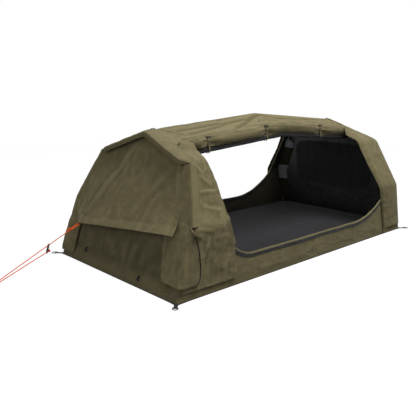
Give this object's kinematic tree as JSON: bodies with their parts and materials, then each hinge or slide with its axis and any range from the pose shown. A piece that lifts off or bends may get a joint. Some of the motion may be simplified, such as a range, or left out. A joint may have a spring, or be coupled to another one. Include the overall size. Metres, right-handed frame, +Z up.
{
  "type": "swag bedroll",
  "caption": "Pole-framed canvas sleeping tunnel with a padded mattress, a rolled-up door along each long side, an awning over the foot window and a corner guy line.",
  "frame": {"origin": "on the ground under the middle of the base, the guy line left out of the measure", "axes": "+X to the head end, -Y to the front door, +Z up"},
  "size_m": [2.7399, 1.1864, 0.842],
  "materials": {
    "olive_canvas": "woven ripstop canvas, matt",
    "black_net": "fine insect net",
    "black_vinyl": "coated vinyl, slight sheen",
    "charcoal_cloth": "brushed mattress cover",
    "grey_foam": "open cell foam",
    "black_webbing": "woven tape and zip",
    "black_plastic": "moulded plastic",
    "alloy_pole": "anodised tube",
    "ring_steel": "plated wire",
    "orange_cord": "braided rope"
  },
  "bodies": {
    "tent": {"foot_awning": "olive_canvas", "foot_end_wall": "olive_canvas", "foot_hoop_front": "alloy_pole", "foot_hoop_rear": "alloy_pole", "foot_window_net": "black_net", "front_canvas_door_roll": "olive_canvas", "front_corner_sleeve": "olive_canvas", "front_door_zip": "black_webbing", "front_foot_quarter": "olive_canvas", "front_foot_roll_tie": "olive_canvas", "front_foot_storm_flap": "olive_canvas", "front_head_quarter": "olive_canvas", "front_head_roll_tie": "olive_canvas", "front_head_storm_flap": "olive_canvas", "front_middle_roll_tie": "olive_canvas", "front_net_door_roll": "black_net", "front_side_wall": "olive_canvas", "ground_sheet": "black_vinyl", "guy_adjuster": "black_plastic", "guy_hitch": "orange_cord", "guy_line": "orange_cord", "guy_stopper_knot": "orange_cord", "head_end_wall": "olive_canvas", "head_hoop_front": "alloy_pole", "head_hoop_rear": "alloy_pole", "head_pole_sleeve": "olive_canvas", "head_window_cover": "olive_canvas", "head_window_net": "black_net", "mattress_cover": "charcoal_cloth", "mattress_foam": "grey_foam", "rear_canvas_door_roll": "olive_canvas", "rear_corner_sleeve": "olive_canvas", "rear_door_zip": "black_webbing", "rear_foot_quarter": "olive_canvas", "rear_foot_roll_tie": "olive_canvas", "rear_foot_storm_flap": "olive_canvas", "rear_head_quarter": "olive_canvas", "rear_head_roll_tie": "olive_canvas", "rear_head_storm_flap": "olive_canvas", "rear_middle_roll_tie": "olive_canvas", "rear_net_door_roll": "black_net", "rear_side_wall": "olive_canvas", "ridge_pole_foot": "alloy_pole", "ridge_pole_head": "alloy_pole", "roof_panel_foot": "olive_canvas", "roof_panel_head": "olive_canvas"},
    "front_canvas_slider": {"front_canvas_zip_slider": "black_plastic"},
    "front_net_slider": {"front_net_zip_slider": "black_plastic"},
    "front_foot_d_ring": {"front_foot_ring": "ring_steel"},
    "front_head_d_ring": {"front_head_ring": "ring_steel"},
    "front_foot_tie_toggle": {"front_foot_toggle": "black_plastic"},
    "front_middle_tie_toggle": {"front_middle_toggle": "black_plastic"},
    "front_head_tie_toggle": {"front_head_toggle": "black_plastic"},
    "rear_canvas_slider": {"rear_canvas_zip_slider": "black_plastic"},
    "rear_net_slider": {"rear_net_zip_slider": "black_plastic"},
    "rear_foot_d_ring": {"rear_foot_ring": "ring_steel"},
    "rear_head_d_ring": {"rear_head_ring": "ring_steel"},
    "rear_foot_tie_toggle": {"rear_foot_toggle": "black_plastic"},
    "rear_middle_tie_toggle": {"rear_middle_toggle": "black_plastic"},
    "rear_head_tie_toggle": {"rear_head_toggle": "black_plastic"}
  },
  "joints": [
    {"name": "front_canvas_zip_slide", "type": "slide", "parent": "tent", "child": "front_canvas_slider", "axis": [1, 0, 0], "range_m": [-0.92, 0]},
    {"name": "front_net_zip_slide", "type": "slide", "parent": "tent", "child": "front_net_slider", "axis": [1, 0, 0], "range_m": [0, 0.88]},
    {"name": "front_foot_ring_lift", "type": "hinge", "parent": "tent", "child": "front_foot_d_ring", "pos_m": [-1.09621, -0.57121, 0.0048], "axis": [-0.7071, 0.7071, 0], "range_deg": [0, 110]},
    {"name": "front_head_ring_lift", "type": "hinge", "parent": "tent", "child": "front_head_d_ring", "pos_m": [1.09621, -0.57121, 0.0048], "axis": [-0.7071, -0.7071, 0], "range_deg": [0, 110]},
    {"name": "front_foot_toggle_turn", "type": "hinge", "parent": "tent", "child": "front_foot_tie_toggle", "pos_m": [-0.577, -0.23535, 0.74378], "axis": [0, -0.6157, 0.788], "range_deg": [-90, 90]},
    {"name": "front_middle_toggle_turn", "type": "hinge", "parent": "tent", "child": "front_middle_tie_toggle", "pos_m": [-0.1, -0.23535, 0.78194], "axis": [0, -0.6157, 0.788], "range_deg": [-90, 90]},
    {"name": "front_head_toggle_turn", "type": "hinge", "parent": "tent", "child": "front_head_tie_toggle", "pos_m": [0.451, -0.23535, 0.7618], "axis": [0, -0.6157, 0.788], "range_deg": [-90, 90]},
    {"name": "rear_canvas_zip_slide", "type": "slide", "parent": "tent", "child": "rear_canvas_slider", "axis": [1, 0, 0], "range_m": [-0.92, 0]},
    {"name": "rear_net_zip_slide", "type": "slide", "parent": "tent", "child": "rear_net_slider", "axis": [1, 0, 0], "range_m": [0, 0.88]},
    {"name": "rear_foot_ring_lift", "type": "hinge", "parent": "tent", "child": "rear_foot_d_ring", "pos_m": [-1.09621, 0.57121, 0.0048], "axis": [0.7071, 0.7071, 0], "range_deg": [0, 110]},
    {"name": "rear_head_ring_lift", "type": "hinge", "parent": "tent", "child": "rear_head_d_ring", "pos_m": [1.09621, 0.57121, 0.0048], "axis": [0.7071, -0.7071, 0], "range_deg": [0, 110]},
    {"name": "rear_foot_toggle_turn", "type": "hinge", "parent": "tent", "child": "rear_foot_tie_toggle", "pos_m": [-0.577, 0.23535, 0.74378], "axis": [0, 0.6157, 0.788], "range_deg": [-90, 90]},
    {"name": "rear_middle_toggle_turn", "type": "hinge", "parent": "tent", "child": "rear_middle_tie_toggle", "pos_m": [-0.1, 0.23535, 0.78194], "axis": [0, 0.6157, 0.788], "range_deg": [-90, 90]},
    {"name": "rear_head_toggle_turn", "type": "hinge", "parent": "tent", "child": "rear_head_tie_toggle", "pos_m": [0.451, 0.23535, 0.7618], "axis": [0, 0.6157, 0.788], "range_deg": [-90, 90]}
  ]
}
